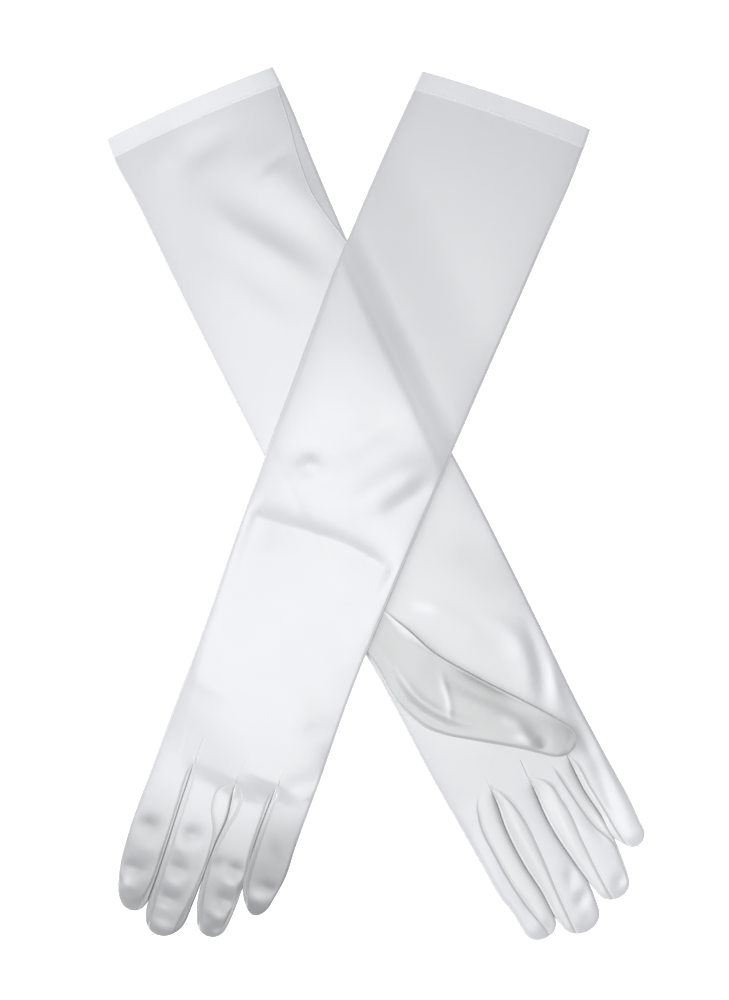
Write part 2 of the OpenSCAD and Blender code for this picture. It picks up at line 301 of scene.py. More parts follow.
def beside(line, flat):
    """For points (x, y): distance to a line, positive right of its direction, and the share along it."""
    x, y = flat[..., 0], flat[..., 1]
    best = np.full(x.shape, 1e9)
    signed, share = np.zeros(x.shape), np.zeros(x.shape)
    lengths = np.linalg.norm(np.diff(line, axis=0), axis=1)
    reached = np.concatenate([[0], np.cumsum(lengths)])
    for a, b, length, before in zip(line[:-1], line[1:], lengths, reached):
        d = (b - a) / length
        along = np.clip((x - a[0]) * d[0] + (y - a[1]) * d[1], 0, length)
        off = np.hypot(x - a[0] - along * d[0], y - a[1] - along * d[1])
        near = off < best
        best = np.where(near, off, best)
        right = np.where((x - a[0]) * d[1] - (y - a[1]) * d[0] < 0, -1.0, 1.0)
        signed = np.where(near, off * right, signed)
        share = np.where(near, (before + along) / reached[-1], share)
    return signed, share


def folds(flat, table):
    """Sum of folds (height, half width, lean, points): bells across each line, faded towards its ends."""
    total = np.zeros(flat.shape[:-1])
    for height, width, lean, points in table:
        d, t = beside(smooth_path(points), flat)
        w = width * np.where(d > 0, 1 + lean, 1 - lean)
        total += height * np.exp(-(d / w) ** 2) * ease(np.minimum(t, 1 - t) / 0.4)
    return total


def creases(flat, table):
    """Sum of creases (depth, width before, width after, points): sharp valleys, the steeper side first."""
    total = np.zeros(flat.shape[:-1])
    for depth, before, after, points in table:
        d, t = beside(smooth_path(points), flat)
        away = np.sqrt(d**2 + 0.5)
        total -= depth * np.exp(-away / np.where(d > 0, after, before)) * ease(np.minimum(t, 1 - t) / 0.25)
    return total


def bumps(flat, table):
    """Sum of bumps (height, x, y, half length, half width, degrees): bells drawn out along their angles."""
    total = np.zeros(flat.shape[:-1])
    for height, x, y, length, width, degrees in table:
        c, s = math.cos(math.radians(degrees)), math.sin(math.radians(degrees))
        dx, dy = flat[..., 0] - x, flat[..., 1] - y
        total += height * np.exp(-((dx * c + dy * s) / length) ** 2 - ((dy * c - dx * s) / width) ** 2)
    return total


# %% [markdown]
# ## The hand and sleeve, seen from above
# The two edges of each glove are smooth lines, and so is the cuff. The cloth's height over the table is
# small: it rises in a tight roll at each edge to a few millimetres, and carries the folds. Where the left
# glove crosses the right one, it lies on it and drops off either side in a ramp, and it drops the same way
# around the thumb that is folded beneath its palm.
# %% Edges
EDGE_LINES = {
    "right": ([(-38.6, 41), (-41.1, 69), (-42.7, 97), (-44.8, 126), (-46.4, 168), (-48.4, 210), (-53.2, 364),
               (-55.6, 475), (-55.9, 530), (-57, 560), (-55.7, 572)],
              [(60.2, 48), (60.5, 62), (59, 90), (57.2, 130), (56.8, 185), (55.4, 270), (53.4, 320),
               (52.7, 464), (54.6, 505), (57, 545), (56.8, 568)]),
    "left": ([(-43.1, 33), (-44.9, 46), (-47.5, 98), (-49, 140), (-49.8, 178), (-53.8, 257), (-55.7, 330),
              (-58.4, 450), (-57.2, 510), (-55, 556)],
             [(53.6, 46), (55.4, 62), (54.2, 80), (52.5, 126), (49.6, 185), (49.5, 250), (52, 367),
              (54.7, 475), (55.9, 545), (54.8, 563)]),
}
CUFF_ENDS = {"right": (571, 567), "left": (556, 562)}     # y of the cuff at each edge
HEM_DEPTH = 12.5
HAND_END = {"right": 114.0, "left": 124.0}                # y where the hand's pieces meet the fingers'
CLOTH = 0.45                                              # thickness of the cloth
LOFT = {"right": 4.0, "left": 4.2}                        # greatest height of the upper layer over the lower
BODY_SHAPE = (0.2, 0.4, 1.5, 0.15, 0.25)                  # shares of the loft, as profile() takes them


def edges(side, y):
    near, far = EDGE_LINES[side]
    return curve_through(near, y), curve_through(far, y)


def inside_by(side, flat):
    """How far a point is inside the nearer edge of its glove."""
    near, far = edges(side, flat[..., 1])
    return np.minimum(flat[..., 0] - near, far - flat[..., 0])


def roll(d, radius):
    """Height share of a rolled edge d inward from it: a quarter ellipse that levels out at radius."""
    s = np.clip(d / radius, 0, 1)
    return np.sqrt(1 - (1 - s) ** 2)


def profile(shape, inward, across):
    """Height share over a flat tube: a wall and a tight roll at its edge, a shoulder and a slow crown."""
    wall, turn, radius, shoulder, crown = shape
    return wall + turn * roll(inward, radius) + shoulder * (1 - across**8) + crown * (1 - across**2)


def body_height(side, flat):
    """Height of a glove's upper layer over its lower one, by how far a point is from the edges."""
    near, far = edges(side, flat[..., 1])
    across = np.clip(np.abs(2 * flat[..., 0] - near - far) / (far - near), 0, 1)
    return LOFT[side] * profile(BODY_SHAPE, inside_by(side, flat), across)


# %% Folds of the right glove, palm up
RIGHT_FOLDS = [
    (0.6, 11, 0.2, [(-24, 530), (-12, 492), (8, 460), (26, 424)]),
    (-0.45, 11, 0.0, [(-6, 528), (10, 492), (28, 460), (46, 418)]),
    (0.5, 12, 0.0, [(14, 535), (32, 500), (48, 460)]),
    (0.5, 14, 0.2, [(-34, 500), (-24, 455), (-2, 400)]),
    (0.4, 9, 0.3, [(-10, 236), (0, 222), (14, 204), (26, 180)]),
    (0.6, 7, 0.0, [(14, 214), (32, 196), (38.5, 180), (38, 164), (31, 146), (22, 132)]),
    (-0.5, 6, 0.0, [(50, 200), (49.5, 174), (43.5, 150), (33, 132)]),
    (0.5, 6, 0.0, [(56, 186), (53, 160), (47, 140), (42, 122)]),
    (-0.6, 5, 0.1, [(51, 136), (52.5, 110), (50.3, 85), (45, 56)]),
    (-0.35, 14, 0.0, [(10, 268), (34, 252), (56, 236)]),
]
RIGHT_BUMPS = [
    (-0.5, -4, 540, 20, 9, 10),
    (-0.35, 31, 514, 11, 4, 15),
    (0.4, -28, 545, 16, 12, 60),
    (0.3, -6, 140, 24, 14, 80),
]


def right_top(flat):
    """Upper side of the right glove over the table."""
    relief = folds(flat, RIGHT_FOLDS) + bumps(flat, RIGHT_BUMPS)
    return CLOTH + body_height("right", flat) + relief * ease(inside_by("right", flat) / 9)


# %% Folds of the left glove, back up
LAY = 0.5                # air between cloth that lies on cloth
HIDDEN_THUMB = 1.5       # thickness of the thumb pressed flat under the left palm
WIDE_RAMP = (40, 108)    # distances from the lower sleeve's middle over which the upper one comes down
STEP_RAMP = (40, 62)     # x on the lower sleeve of the steeper step at its little-finger edge
STEP_SHARE = 0.38        # share of the height that this step takes
LEFT_FOLDS = [
    (1.5, 11, 0.0, [(4, 278), (14, 298), (28, 318), (46, 340)]),
    (-0.8, 9, 0.0, [(-18, 304), (-8, 324), (4, 342), (22, 356)]),
    (-0.6, 6, 0.0, [(24, 288), (38, 308), (48, 330)]),
    (0.5, 6, 0.0, [(-58, 160), (-38, 155.5), (-12, 152)]),
    (-0.4, 6, 0.0, [(30, 108), (42, 119), (54, 130)]),
    (0.7, 30, 0.0, [(-16, 410), (-34, 360), (-40, 310)]),
]
LEFT_CREASES = [
    (2.7, 8, 48, [(-66, 260), (-53.5, 262), (-32.8, 264), (-13.7, 266), (7.6, 267.5), (26.6, 265.8),
                  (41, 263), (58, 259)]),
]
LEFT_BUMPS = [
    (1.0, -27, 303, 8, 6, 20),
    (-0.3, -32, 314, 9, 6, 10),
    (-0.4, 38, 152, 9, 6, 20),
]


def beside_thumb(flat):
    """How far a glove point is outside the thumb that lies under the palm."""
    q = in_thumb(flat)
    near, far = thumb_edges(q[..., 1])
    return np.hypot(np.maximum(np.maximum(near - q[..., 0], q[..., 0] - far), 0),
                    np.maximum(np.maximum(-q[..., 1], q[..., 1] - 150), 0))


def left_lift(flat):
    """Height of the left glove's lower layer: over the other sleeve, over its own thumb, or on the table."""
    below = across_gloves(flat, "left", "right")
    wide = ease((WIDE_RAMP[1] - np.abs(below[..., 0])) / (WIDE_RAMP[1] - WIDE_RAMP[0]))
    step = ease((STEP_RAMP[1] - below[..., 0]) / (STEP_RAMP[1] - STEP_RAMP[0]))
    over_sleeve = (right_top_smooth(below) + LAY) * wide * (1 - STEP_SHARE + STEP_SHARE * step)
    over_thumb = (HIDDEN_THUMB + LAY) * ease(1 - beside_thumb(flat) / 45)
    return np.log(np.exp(1.5 * over_sleeve) + np.exp(1.5 * over_thumb) - 1) / 1.5


def right_top_smooth(flat):
    """Height of the sleeve below, as the cloth over it bridges: without its edge rolls."""
    inside = np.stack([np.clip(flat[..., 0], -46, 46), np.clip(flat[..., 1], 120, 560)], -1)
    return CLOTH + body_height("right", inside) + folds(inside, RIGHT_FOLDS)


def left_top(flat):
    """Upper side of the left glove over the table."""
    inward = inside_by("left", flat)
    relief = (folds(flat, LEFT_FOLDS) + bumps(flat, LEFT_BUMPS)) * ease(inward / 3)
    relief = relief + creases(flat, LEFT_CREASES) * ease(inward / 10)
    return left_lift(flat) + CLOTH + body_height("left", flat) + relief


# %% [markdown]
# ## Thumb outline
# The thumb is a tapering tube, wide at the ball and round at the tip, drawn in its own frame.
# %% Thumb edges
THUMB_LINES = ([(-7, 0), (-10.6, 13), (-13.6, 26), (-22.9, 57), (-28.3, 76), (-29.5, 86), (-26.8, 101),
                (-21, 116), (-12.6, 128), (-4.7, 140), (3, 150)],
               [(11, 0), (12.6, 18), (13, 40), (13, 72), (15, 106), (19.9, 125), (22.9, 142), (24, 150)])
THUMB_LOFT = 3.6
THUMB_ROUND = 10.0


def thumb_edges(y):
    """The thumb's near and far edge."""
    return closed_edges(THUMB_LINES, 0, THUMB_ROUND, y)


TOPS = {"right": right_top, "left": left_top}
test = np.array([[0.0, 300.0], [0.0, 450.0], [0.0, 160.0]])
print("right top", np.round(right_top(test), 2), "left top", np.round(left_top(test), 2))

# %% [markdown]
# ## From a grid to a shell
# A piece of cloth is a grid of points on its outer face. Its inner face is the same grid moved in by the
# cloth's thickness, and a rim joins the two all round, so the piece is a closed solid. The normals come from
# the whole surface that the piece was cut from, which hides the cut between two pieces of one cloth.
# %% Shells


def surface_normals(grid, wrap):
    """Unit normals of a grid (rows, columns, 3): the cross product of its two directions, by differences."""
    down = np.gradient(grid, axis=0)
    if wrap:
        over = (np.roll(grid, -1, axis=1) - np.roll(grid, 1, axis=1)) / 2
    else:
        over = np.gradient(grid, axis=1)
    n = np.cross(over, down)
    return n / np.maximum(np.linalg.norm(n, axis=-1, keepdims=True), 1e-12)


def quads_of(index, flip):
    """The faces of an index grid, as rows of four."""
    a, b, c, d = index[:-1, :-1], index[:-1, 1:], index[1:, 1:], index[1:, :-1]
    q = np.stack([a, b, c, d], -1).reshape(-1, 4)
    return q[:, ::-1] if flip else q


def shell(name, side, outer, normals, thickness=CLOTH, ring=False):
    """A closed piece of cloth: outer face, inner face moved in along the normals, and rims between."""
    rows, cols = outer.shape[:2]
    inner = outer - thickness * normals
    inner[..., 2] = np.maximum(inner[..., 2], 0.05)
    points = np.concatenate([outer.reshape(-1, 3), inner.reshape(-1, 3)])
    index = np.arange(rows * cols).reshape(rows, cols)
    if ring:
        index = np.concatenate([index, index[:, :1]], 1)
    back = index + rows * cols
    faces = [quads_of(index, False), quads_of(back, True)]
    first, last = (index[0], back[0]), (index[-1], back[-1])
    rims = [np.stack([last[0][:-1], last[0][1:], last[1][1:], last[1][:-1]], -1),
            np.stack([first[0][1:], first[0][:-1], first[1][:-1], first[1][1:]], -1)]
    if not ring:
        left, right = (index[:, 0], back[:, 0]), (index[:, -1], back[:, -1])
        rims += [np.stack([left[0][:-1], left[0][1:], left[1][1:], left[1][:-1]], -1),
                 np.stack([right[0][1:], right[0][:-1], right[1][:-1], right[1][1:]], -1)]
    faces = np.concatenate(faces + rims)
    smooth = np.concatenate([normals.reshape(-1, 3), -normals.reshape(-1, 3)])
    count = 2 * (rows - 1) * (index.shape[1] - 1)
    return make_mesh(name, side, points, faces, smooth, count)


# %% [markdown]
# ## Painted light and shade
# Satin is bright where its threads lie across the light and dim where they run with it, so no part of a
# glove is quite as bright as the next. Here that light and shade is painted into the colour: each piece
# carries it as a colour attribute worked out from where its points lie. It multiplies the cloth's colour, so
# 1 leaves that as it is. Lines and spots of it, in the same form as folds and bumps, add narrow painted
# highlights and painted dark hollows that the shapes are too plain to show.
# %% Painted light and shade
# painted highlights (positive) and painted shade (negative) along lines on the right palm
PALM_PAINTED_LIGHT_AND_SHADE = [
    (0.16, 3.0, 0.0, [(57, 176), (52, 160), (46, 146), (39, 128)]),
    (0.10, 6.0, 0.3, [(44, 192), (37, 178), (30, 168)]),
    (0.14, 3.0, 0.0, [(-12, 232), (-5, 226), (6, 218)]),
    (-0.09, 14, 0.0, [(20, 262), (36, 238), (46, 200)]),
]
# painted highlights (positive) and painted shade (negative) along lines on the right thumb, in its frame
THUMB_PAINTED_LIGHT_AND_SHADE = [
    (0.32, 1.7, 0.0, [(8, 97), (4, 94), (-2, 89), (-10, 81.6), (-21, 76), (-23, 75)]),
    (-0.26, 4.0, 0.0, [(9, 96), (9.6, 84), (9.5, 70), (8.5, 56), (6, 40)]),
    (0.22, 2.6, 0.0, [(-8, 38), (-8.6, 30), (-7.5, 22)]),
    (-0.25, 1.6, 0.0, [(-10, 20), (-5, 18), (0, 19)]),
    (0.12, 3.0, 0.0, [(-4, 52), (-3, 43), (0, 36)]),
    (0.3, 3.0, 0.0, [(-6, 3), (0, 2.5), (6, 3), (10, 8)]),
    (0.12, 1.8, 0.0, [(2, 134), (-7, 120), (-12, 108), (-14, 98)]),
]
# how much painted shade each left finger takes towards its tip
FINGER_PAINTED_SHADE = {"index": 1.0, "middle": 1.15, "ring": 1.15, "little": 1.3}
# painted highlight towards the tips of each right finger
FINGER_GLEAM = {"index": 0.12, "middle": 0.12, "ring": 0.18, "little": 0.24}
# painted highlights (positive) and painted shade (negative) as spots on the left fingers
FINGER_PAINTED_LIGHT_AND_SHADE = [
    (0.22, -35, 23, 5, 3, 80), (0.14, -7.3, 32.5, 5, 4, 0), (0.26, -4.5, 7, 6, 3, 0),
    (0.12, -8, 17, 4, 1.5, 0), (0.28, 26, 25, 4, 2.5, 20), (0.2, 18, 12, 2.5, 4, 0),
    (0.12, 25, 45.5, 4, 4, 0), (0.24, 45, 46, 6, 3.5, 10), (-0.16, -36, 61.5, 6, 5, 0),
    (-0.16, -10.5, 64, 4.5, 4.5, 0), (-0.1, -9.7, 42.5, 4.5, 4, 0), (-0.14, 12.5, 54, 4, 4, 0),
    (-0.14, 24.5, 55.5, 4, 4, 0), (-0.12, 45, 64, 9, 9, 0), (-0.14, -24, 22, 8, 5, 80),
]
# painted highlight on each cuff hem
HEM_PAINTED_HIGHLIGHT = {"right": 0.24, "left": 0.12}
# painted shade over the whole right thumb, as a grey
THUMB_PAINTED_SHADE = (0.74, 0.755, 0.735)
# painted highlight along the thumb's far rolled edge
RIM_GLEAM = 0.34          # of the thumb's rolled edge, widest near its root
# painted shade on the left fingertips
TIP_PAINTED_SHADE = 0.41            # of the left fingertips
# painted shade on the right hand and fingers
PALM_PAINTED_SHADE = 0.06           # of the right palm


def painted_light_tint(name, flat):
    """Painted light and shade per point (x, y) of a piece, as a grey: 1, less its part's painted shade, plus
    painted spots and lines.
    """
    y = flat[:, 1]
    tint = np.ones((len(y), 4))
    side, part = name.split("_")[:2]
    # left fingers: painted shade towards the tips, more on the middle finger's far strip, and painted spots
    if part in FINGER_PAINTED_SHADE and side == "left":
        tip_shade = FINGER_PAINTED_SHADE[part] * ease((96 - y + FINGERS[side][part]["tip"]) / 80) * ease((120 - y) / 40)
        strip = 0.14 * ease((88 - y) / 24) if name.startswith("left_middle_fourchette_far") else 0
        tint[:, :3] += (bumps(flat, FINGER_PAINTED_LIGHT_AND_SHADE) - TIP_PAINTED_SHADE * tip_shade - strip)[:, None]
    # right fingers: a painted highlight towards the tips, less the palm's painted shade
    elif part in FINGER_PAINTED_SHADE:
        tint[:, :3] += (FINGER_GLEAM[part] * ease((112 - y) / 60) - PALM_PAINTED_SHADE)[:, None]
    # right thumb: painted shade all over, a painted highlight along its far edge, widest near the root, and
    # painted lines
    elif part == "thumb" and side == "right":
        q = in_thumb(flat)
        inward = thumb_edges(np.clip(q[:, 1], 0.1, 150))[1] - q[:, 0]
        rim = ease(1.2 - inward / (1.6 + 4.5 * np.exp(-((q[:, 1] - 126) / 11) ** 2)))
        tint[:, :3] = THUMB_PAINTED_SHADE
        tint[:, :3] += (RIM_GLEAM * rim + folds(q, THUMB_PAINTED_LIGHT_AND_SHADE))[:, None]
    # cuff hems: a painted highlight
    elif part == "cuff":
        tint[:, :3] += HEM_PAINTED_HIGHLIGHT[side]
    # left hand and sleeve: a little painted light past the fingers, and painted shade over the upper sleeve
    elif side == "left":
        tint[:, :3] += (0.04 * ease((y - 124) / 50) - 0.08 * ease((y - 330) / 90))[:, None]
    # right hand and sleeve: painted gleams and hollows, and painted shade over the hand and lower sleeve
    else:
        tint[:, :3] += (folds(flat, PALM_PAINTED_LIGHT_AND_SHADE) - PALM_PAINTED_SHADE * ease((320 - y) / 60))[:, None]
    return tint


# %% Meshes


def make_mesh(name, side, points, faces, smooth, smooth_faces):
    """A mesh of quads over points in millimetres, with given normals on its first smooth_faces faces."""
    placed = on_table(side, points) * MM
    mesh = bpy.data.meshes.new(name)
    mesh.vertices.add(len(placed))
    mesh.vertices.foreach_set("co", placed.astype(np.float32).ravel())
    mesh.loops.add(faces.size)
    mesh.loops.foreach_set("vertex_index", faces.astype(np.int32).ravel())
    mesh.polygons.add(len(faces))
    mesh.polygons.foreach_set("loop_start", np.arange(0, faces.size, 4, dtype=np.int32))
    mesh.update(calc_edges=True)
    corners = placed[faces]
    flat = np.cross(corners[:, 2] - corners[:, 0], corners[:, 3] - corners[:, 1])
    flat /= np.maximum(np.linalg.norm(flat, axis=1, keepdims=True), 1e-15)
    ex, ey, _ = FRAMES[side]
    turned = np.concatenate([smooth[:, :1] * ex + smooth[:, 1:2] * ey, smooth[:, 2:]], 1)
    per_corner = np.repeat(flat[:, None], 4, 1)
    per_corner[:smooth_faces] = turned[faces[:smooth_faces]]
    mesh.polygons.foreach_set("use_smooth", np.ones(len(faces), bool))
    uv = mesh.uv_layers.new(name="cloth")
    uv.data.foreach_set("uv", (points[faces][..., :2] * MM * 10).astype(np.float32).reshape(-1))
    # the piece's painted light and shade, as a colour attribute
    painted_light = mesh.color_attributes.new("painted_light", "FLOAT_COLOR", "POINT")
    painted_light.data.foreach_set("color", painted_light_tint(name, points[:, :2]).astype(np.float32).ravel())
    mesh.normals_split_custom_set(per_corner.reshape(-1, 3).tolist())
    mesh.validate()
    piece = bpy.data.objects.new(name, mesh)
    bpy.context.scene.collection.objects.link(piece)
    return piece


def dress(piece, slot, nodes):
    """Gives a piece its finish and hides the CAD nodes that it stands for."""
    piece.data.materials.append(FINISHES[slot])
    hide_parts(*nodes)
    return piece


# %% [markdown]
# ## Fingers
# A finger is a tube too, made of a palm face, a back face, and strips between them, the fourchettes, which
# give it its depth. On the palm-up glove the fingers have rolled over a little, so the strips on their near
# sides show from above. Each finger starts just inside the hand, where its surface is the hand's own, and
# grows its valleys and seams past the fork.
# %% Finger outlines and seams
# Each two neighbours share a line from the hand to where they part: index and middle, and so on.
SHARED = {
    "right": ([(-14.4, 120), (-15, 97), (-16.8, 82), (-16.4, 55), (-13.6, 32), (-13.2, 18)],
              [(9.8, 120), (9.3, 95), (8.6, 72), (12.4, 42), (15, 28)],
              [(37.6, 120), (37, 100), (37.2, 80), (39.8, 62), (41.2, 45)]),
    "left": ([(-24.6, 130), (-23.9, 105), (-22.3, 79), (-20.2, 53), (-18.6, 30), (-18, 17)],
             [(4.6, 130), (5, 100), (7.8, 83), (7.2, 64), (8, 42)],
             [(29.8, 130), (28.8, 106), (29, 90), (29.8, 74), (33.1, 46)]),
}


def outline(side, place, tip, rounded, near_end, far_end, forks, near_seam=None, far_seam=None):
    """A finger's outline from the lines it shares and its own ends at the tip, its forks, and its seams."""
    lines = [EDGE_LINES[side][0][:4], *SHARED[side], EDGE_LINES[side][1][:4]]
    return dict(near=lines[place] + near_end, far=lines[place + 1] + far_end, tip=tip, rounded=rounded,
                forks=forks, near_seam=near_seam, far_seam=far_seam)


FINGERS = {"right": {
    "index": outline(
        "right", 0, 7.4, 10, [(-36.4, 32), (-35.4, 22), (-34.6, 14), (-34, 6)], [(-13, 6)], (None, 103),
        far_seam=[(-15, 112), (-19, 108), (-24, 103), (-28.4, 92), (-29.2, 66), (-26.2, 35), (-21, 12)]),
    "middle": outline(
        "right", 1, 0, 10, [(-12, 10), (-10, 0)], [(15, 20), (14.2, 12), (12, 0)], (103, 97),
        near_seam=[(-13.5, 106), (-8, 97), (-4, 80), (-3.6, 58), (-4.8, 33), (-5.4, 2)]),
    "ring": outline(
        "right", 2, 10.3, 9, [(17, 18), (18, 10)], [(40, 26), (37.5, 10)], (97, 101),
        near_seam=[(11.5, 101), (17.5, 96), (22.6, 79), (22.9, 50), (23.2, 26), (24, 12)],
        far_seam=[(25, 110), (26.6, 102), (29.1, 84), (34.5, 56), (39.6, 44), (39, 20)]),
    "little": outline(
        "right", 3, 34.3, 9, [(43.6, 40), (45, 34)], [(60.2, 40), (59, 34)], (101, None),
        near_seam=[(38.5, 104), (40.6, 98), (42.2, 80), (44, 62), (45.4, 46), (47, 36)]),
}, "left": {
    "index": outline(
        "left", 0, 6.8, 12, [(-40.6, 23), (-38.6, 17), (-37, 12), (-36, 6)], [(-17.6, 6)], (None, 106),
        far_seam=[(-24.8, 107), (-25, 100), (-23.4, 79), (-21.4, 53), (-20, 30), (-22, 8)]),
    "middle": outline(
        "left", 1, -1.2, 13, [(-15.5, 0)], [(8.4, 26), (8.2, 12), (5, -1)], (106, 104),
        near_seam=[(-23.4, 107), (-22, 100), (-19.8, 79), (-17.6, 53), (-15.8, 30), (-12.5, 2)],
        far_seam=[(3.6, 105), (-1.5, 100), (-3, 86), (3.8, 72), (6, 60), (6.6, 40), (4, 2)]),
    "ring": outline(
        "left", 2, 9.8, 10, [(10.4, 27), (13.6, 18), (15.4, 9)], [(33.8, 28), (32.4, 9)], (104, 112),
        near_seam=[(5.6, 105), (10.5, 99), (12, 90), (10, 76), (9, 60), (10, 42), (17, 12)],
        far_seam=[(28.4, 112), (27.4, 104), (28, 90), (28.9, 74), (32.2, 46), (31, 14)]),
    "little": outline(
        "left", 3, 32.6, 10, [(38, 36), (39.5, 32)], [(52.4, 38), (51, 32)], (112, None),
        near_seam=[(30, 112), (30.6, 104), (31.2, 90), (32.2, 74), (35.8, 46), (40, 34)]),
}}
FINGER_LOFT = {"right": 3.9, "left": 3.5}
FINGER_SHAPE = {"right": (0.35, 0.4, 1.2, 0.15, 0.1), "left": (0.5, 0.35, 0.8, 0.05, 0.1)}
SEAM_DEPTH = {"right": 0.5, "left": 0.25}
SEAM_WIDTH = 0.8

# %% Bumps and dimples of the fingers
FINGER_BUMPS = {
    ("right", "index"): [(-0.5, -20, 13, 5, 4, 20), (-0.3, -25, 30, 8, 3, 100), (0.4, -36, 66, 40, 5, 92)],
    ("right", "middle"): [(-0.4, 6.5, 35, 7, 4, 70), (-0.6, 7, 20, 5, 4, 40), (-0.3, 4, 7, 5, 4, 0),
                          (0.4, -9.5, 66, 26, 3, 92)],
    ("right", "ring"): [(-0.5, 34, 58, 12, 4, 100), (0.35, 17, 62, 26, 3, 88), (-0.5, 32, 19, 6, 4, 40)],
    ("right", "little"): [(-0.4, 48.5, 66, 18, 4, 86), (0.3, 55, 72, 22, 4, 88)],
    ("left", "index"): [(-0.9, -35, 60, 7, 6, 20), (-0.8, -34, 32, 7, 4.5, 10), (0.5, -34, 21, 6, 4, 0),
                        (-0.5, -23, 12, 5, 4, 30), (0.3, -30, 46, 8, 5, 0)],
    ("left", "middle"): [(-0.9, -8, 65, 5.5, 5, 10), (-0.7, -8, 42.5, 6, 4.5, 0), (-0.7, -6, 23, 6, 4.5, 0),
                         (0.45, -12, 54, 6, 4.5, 0), (0.45, -8, 33, 6, 4.5, 0), (-0.3, 3, 40, 20, 3.5, 90)],
    ("left", "ring"): [(-0.7, 24, 55, 6, 4.5, 0), (-0.8, 26, 35, 6, 4.5, 0), (-0.4, 13, 54, 6, 4, 60),
                       (0.55, 26, 45.5, 6, 4, 0), (0.45, 23, 25, 5, 4, 0), (-0.5, 28, 17, 5, 4, 30)],
    ("left", "little"): [(-0.5, 43, 72, 9, 6, 120), (-0.45, 48, 51, 7, 4.5, 0), (0.35, 44, 44, 6, 4.5, 0)],
}


def finger_edges(finger, y):
    """A finger's near and far edge."""
    return closed_edges((finger["near"], finger["far"]), finger["tip"], finger["rounded"], y)


def past_fork(finger, share, y):
    """0 on the hand, 1 on a finger: each side of the finger leaves the hand at its own fork."""
    near, far = (ease((f + 3 - y) / 12) if f else ease((112 - y) / 60) for f in finger["forks"])
    return near * (1 - share) + far * share


def finger_top(side, name, flat):
    """Height of a finger's upper side: the hand's at the root, then the finger's own, with its seams."""
    finger = FINGERS[side][name]
    x, y = flat[..., 0], flat[..., 1]
    near, far = finger_edges(finger, y)
    share = np.clip((x - near) / np.maximum(far - near, 1e-6), 0, 1)
    inward = np.minimum(x - near, far - x)
    across = np.abs(2 * share - 1)
    own = FINGER_LOFT[side] * profile(FINGER_SHAPE[side], inward, across)
    own = CLOTH + own * (0.4 + 0.6 * roll(y - finger["tip"], 9))
    own = own + bumps(flat, FINGER_BUMPS[side, name]) * ease(inward / 4)
    for seam in ("near_seam", "far_seam"):
        if finger[seam]:
            d = x - curve_through(finger[seam], y)
            own = own - SEAM_DEPTH[side] * np.exp(-(d / SEAM_WIDTH) ** 2)
    g = past_fork(finger, share, y)
    return TOPS[side](flat) * (1 - g) + np.maximum(own, 0.5) * g


# %% Finger pieces
FINGER_ROWS = 110
FACE_COLUMNS, STRIP_COLUMNS, UNDER_COLUMNS = 30, 12, 18


def crowded(near, far, count):
    """Columns between two lines (rows, 1), close together at both, as (rows, count)."""
    t = (1 - np.cos(np.pi * np.linspace(0, 1, count))) / 2
    t = 0.35 * np.linspace(0, 1, count) + 0.65 * t
    return near + (far - near) * t


def finger_columns(side, name, y):
    """x of a finger's columns at y (rows, 1): over the top, the seams' columns, and back underneath."""
    finger = FINGERS[side][name]
    near, far = finger_edges(finger, y)
    width = far - near
    seams = []
    for seam, edge in (("near_seam", near), ("far_seam", far)):
        if finger[seam]:
            line = curve_through(finger[seam], np.clip(y, finger["tip"], max(p[1] for p in finger[seam])))
            edge = np.clip(line, near + 0.06 * width, far - 0.06 * width)
        seams.append(edge)
    strips = [crowded(near, seams[0], STRIP_COLUMNS)[:, :-1] if finger["near_seam"] else near[:, :0],
              crowded(*seams, FACE_COLUMNS),
              crowded(seams[1], far, STRIP_COLUMNS)[:, 1:] if finger["far_seam"] else near[:, :0]]
    first = strips[0].shape[1]
    return np.concatenate(strips, 1), (first, first + FACE_COLUMNS - 1), crowded(far, near, UNDER_COLUMNS)


def finger_loop(side, name):
    """A finger's whole loop, and where its pieces' columns start: near strip, top, far strip, underside."""
    finger = FINGERS[side][name]
    v = np.linspace(0, 1, FINGER_ROWS)
    v = 0.6 * v + 0.4 * (1 - np.cos(np.pi / 2 * v))
    tip = finger["tip"] + 0.02
    y = tip + (HAND_END[side] - tip) * v
    y = np.append(y, 2 * y[-1] - y[-2])[:, None]
    x, (a, b), xb = finger_columns(side, name, y)
    near, far = finger_edges(finger, y)
    flat = np.stack([x, np.broadcast_to(y, x.shape)], -1)
    top = np.concatenate([flat, finger_top(side, name, flat)[..., None]], -1)
    flat = np.stack([xb, np.broadcast_to(y, xb.shape)], -1)
    hand = under_height(side, flat)
    own = 0.15 + 0.2 * (1 - roll(np.minimum(xb - near, far - xb), 3))
    g = past_fork(finger, (xb - near) / (far - near), y)
    under = np.concatenate([flat, (hand * (1 - g) + own * g)[..., None]], -1)
    return np.concatenate([top, under], 1), (a, b, x.shape[1] - 1)


